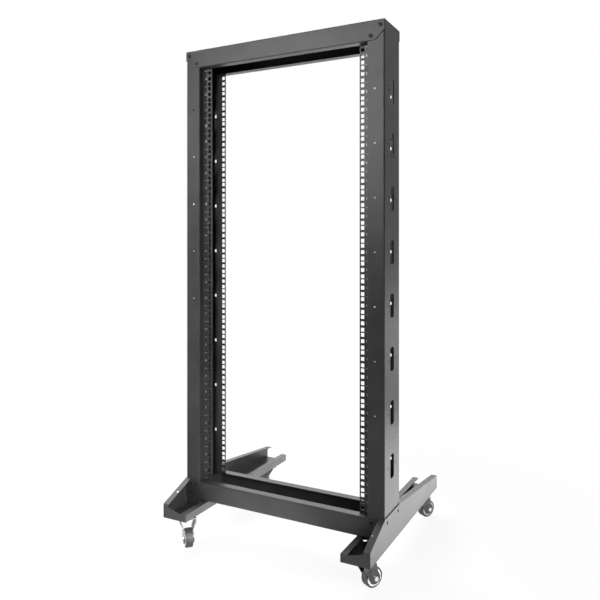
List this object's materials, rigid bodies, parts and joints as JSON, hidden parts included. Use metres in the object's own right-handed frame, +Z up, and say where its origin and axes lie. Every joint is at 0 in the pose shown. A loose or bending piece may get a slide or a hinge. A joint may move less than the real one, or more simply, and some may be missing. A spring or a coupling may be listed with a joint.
{
  "type": "two post open frame rack on casters",
  "caption": "Open frame equipment rack: two folded steel uprights with square-hole mounting angles, cross beams, long channel feet and swivel casters.",
  "frame": {"origin": "centre of the overall plan at floor level", "axes": "+Z up, +X to the right seen from the front, -Y towards the front"},
  "size_m": [0.6135, 0.552, 1.3697],
  "materials": {
    "black_powder_coat": "fine matt powder coat",
    "zinc_steel": "dark zinc plated pressed steel",
    "wheel_core": "pale moulded nylon",
    "tyre": "smooth hard rubber tread"
  },
  "bodies": {
    "frame": {"post_right": "black_powder_coat", "foot_right": "black_powder_coat", "rail_right_front": "black_powder_coat", "rail_right_rear": "black_powder_coat", "post_left": "black_powder_coat", "foot_left": "black_powder_coat", "rail_left_front": "black_powder_coat", "rail_left_rear": "black_powder_coat", "bottom_beam": "black_powder_coat", "top_beam": "black_powder_coat", "caster_plate_front_right": "zinc_steel", "caster_plate_rear_right": "zinc_steel", "caster_plate_front_left": "zinc_steel", "caster_plate_rear_left": "zinc_steel"},
    "swivel_front_right": {"caster_fork_front_right": "zinc_steel", "caster_axle_front_right": "zinc_steel"},
    "wheel_front_right": {"caster_hub_front_right": "wheel_core", "caster_tyre_front_right": "tyre"},
    "swivel_rear_right": {"caster_fork_rear_right": "zinc_steel", "caster_axle_rear_right": "zinc_steel"},
    "wheel_rear_right": {"caster_hub_rear_right": "wheel_core", "caster_tyre_rear_right": "tyre"},
    "swivel_front_left": {"caster_fork_front_left": "zinc_steel", "caster_axle_front_left": "zinc_steel"},
    "wheel_front_left": {"caster_hub_front_left": "wheel_core", "caster_tyre_front_left": "tyre"},
    "swivel_rear_left": {"caster_fork_rear_left": "zinc_steel", "caster_axle_rear_left": "zinc_steel"},
    "wheel_rear_left": {"caster_hub_rear_left": "wheel_core", "caster_tyre_rear_left": "tyre"}
  },
  "joints": [
    {"name": "swivel_front_right", "type": "hinge", "parent": "frame", "child": "swivel_front_right", "pos_m": [0.26, -0.224, 0.08], "axis": [0, 0, 1], "continuous": true},
    {"name": "roll_front_right", "type": "hinge", "parent": "swivel_front_right", "child": "wheel_front_right", "pos_m": [0.274, -0.19975, 0.025], "axis": [-0.866, 0.5, 0], "continuous": true},
    {"name": "swivel_rear_right", "type": "hinge", "parent": "frame", "child": "swivel_rear_right", "pos_m": [0.26, 0.224, 0.08], "axis": [0, 0, 1], "continuous": true},
    {"name": "roll_rear_right", "type": "hinge", "parent": "swivel_rear_right", "child": "wheel_rear_right", "pos_m": [0.274, 0.24825, 0.025], "axis": [-0.866, 0.5, 0], "continuous": true},
    {"name": "swivel_front_left", "type": "hinge", "parent": "frame", "child": "swivel_front_left", "pos_m": [-0.26, -0.224, 0.08], "axis": [0, 0, 1], "continuous": true},
    {"name": "roll_front_left", "type": "hinge", "parent": "swivel_front_left", "child": "wheel_front_left", "pos_m": [-0.2402, -0.2438, 0.025], "axis": [0.7071, 0.7071, 0], "continuous": true},
    {"name": "swivel_rear_left", "type": "hinge", "parent": "frame", "child": "swivel_rear_left", "pos_m": [-0.26, 0.224, 0.08], "axis": [0, 0, 1], "continuous": true},
    {"name": "roll_rear_left", "type": "hinge", "parent": "swivel_rear_left", "child": "wheel_rear_left", "pos_m": [-0.28757, 0.21914, 0.025], "axis": [0.1736, -0.9848, 0], "continuous": true}
  ]
}
